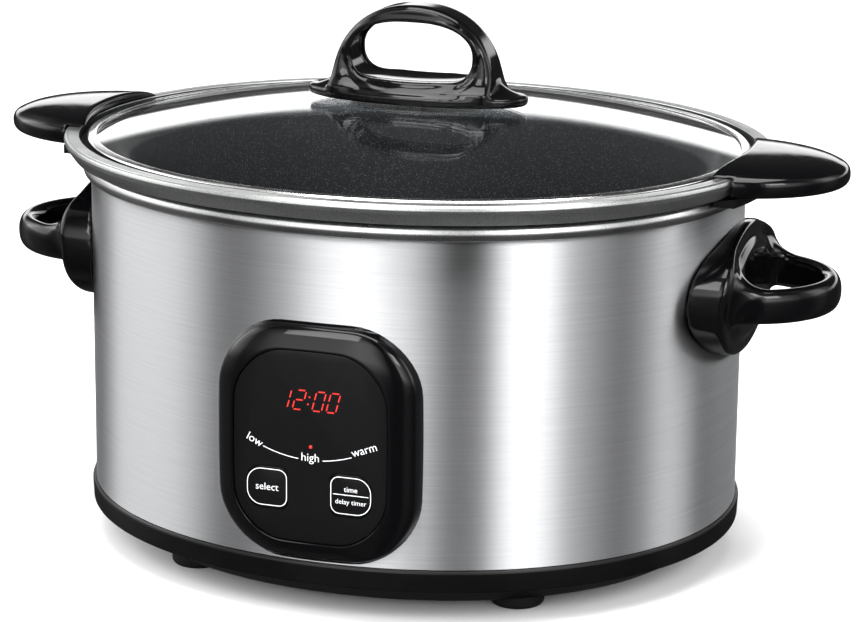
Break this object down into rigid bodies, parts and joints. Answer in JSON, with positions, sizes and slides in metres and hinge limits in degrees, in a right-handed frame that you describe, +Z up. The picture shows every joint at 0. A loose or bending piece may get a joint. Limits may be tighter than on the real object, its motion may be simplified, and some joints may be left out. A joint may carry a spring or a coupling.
{
  "type": "slow cooker",
  "caption": "Oval slow cooker: steel housing with a digital control panel and side handles, lift-out non-stick pot with handles, and a domed glass lid with an arched knob.",
  "frame": {"origin": "on the table, under the centre of the oval, at the bottom of the feet", "axes": "+X along the oval, to the right of someone facing the control panel; -Y out of the control panel; +Z up, the way the lid and the pot lift off"},
  "size_m": [0.429, 0.31, 0.267],
  "materials": {
    "brushed_steel": "horizontally brushed stainless steel sheet, satin",
    "spun_steel": "fine-turned stainless steel, semi-bright",
    "galvanised": "zinc-coated steel sheet, dull",
    "gloss_black": "polished black phenolic moulding",
    "satin_black": "black polypropylene with a fine satin texture",
    "window_black": "smoked black acrylic with printed marks",
    "rubber": "black moulded rubber, matt",
    "nonstick": "cast aluminium with a charcoal speckled non-stick coating",
    "glass": "clear tempered soda-lime glass",
    "board": "green solder-masked circuit board",
    "red_lens": "red diffusing epoxy, lit",
    "white_wool": "off-white glass fibre",
    "grey_plastic": "grey engineering plastic",
    "silicone": "translucent grey silicone"
  },
  "bodies": {
    "base": {"base_cover": "satin_black", "base_screw_front_left": "galvanised", "base_screw_front_right": "galvanised", "base_screw_rear_left": "galvanised", "base_screw_rear_right": "galvanised", "base_shell": "satin_black", "control_bezel": "gloss_black", "control_board": "board", "control_window": "window_black", "cord_gland": "satin_black", "display_module": "red_lens", "foot_front_left": "rubber", "foot_front_right": "rubber", "foot_rear_left": "rubber", "foot_rear_right": "rubber", "heater_band": "galvanised", "heater_lead_front": "white_wool", "heater_lead_rear": "white_wool", "heating_well": "galvanised", "housing_rim": "spun_steel", "housing_wrap": "brushed_steel", "insulation_band": "white_wool", "led_high": "red_lens", "led_low": "red_lens", "led_warm": "red_lens", "pot_sensor": "galvanised", "power_board": "board", "power_relay": "satin_black", "side_handle_left": "gloss_black", "side_handle_right": "gloss_black", "side_screw_left_front": "galvanised", "side_screw_left_rear": "galvanised", "side_screw_right_front": "galvanised", "side_screw_right_rear": "galvanised", "switch_select": "grey_plastic", "switch_timer": "grey_plastic", "terminal_block": "grey_plastic", "thermal_fuse": "white_wool", "transformer": "grey_plastic"},
    "select_button": {"select_button": "window_black"},
    "timer_button": {"timer_button": "window_black"},
    "pot": {"pot": "nonstick", "pot_clip_left": "satin_black", "pot_clip_right": "satin_black", "pot_handle_left": "gloss_black", "pot_handle_right": "gloss_black", "pot_screw_left_front": "galvanised", "pot_screw_left_rear": "galvanised", "pot_screw_right_front": "galvanised", "pot_screw_right_rear": "galvanised"},
    "lid": {"knob_gasket": "silicone", "knob_screw": "galvanised", "knob_washer": "spun_steel", "lid_band": "spun_steel", "lid_glass": "glass", "lid_knob": "gloss_black"}
  },
  "joints": [
    {"name": "pot_lift", "type": "slide", "parent": "base", "child": "pot", "axis": [0, 0, 1], "range_m": [0, 0.2]},
    {"name": "lid_lift", "type": "slide", "parent": "pot", "child": "lid", "axis": [0, 0, 1], "range_m": [0, 0.15]},
    {"name": "select_press", "type": "slide", "parent": "base", "child": "select_button", "axis": [0, 1, 0], "range_m": [0, 0.0008], "stiffness_N_per_m": 2500},
    {"name": "timer_press", "type": "slide", "parent": "base", "child": "timer_button", "axis": [0, 1, 0], "range_m": [0, 0.0008], "stiffness_N_per_m": 2500}
  ]
}
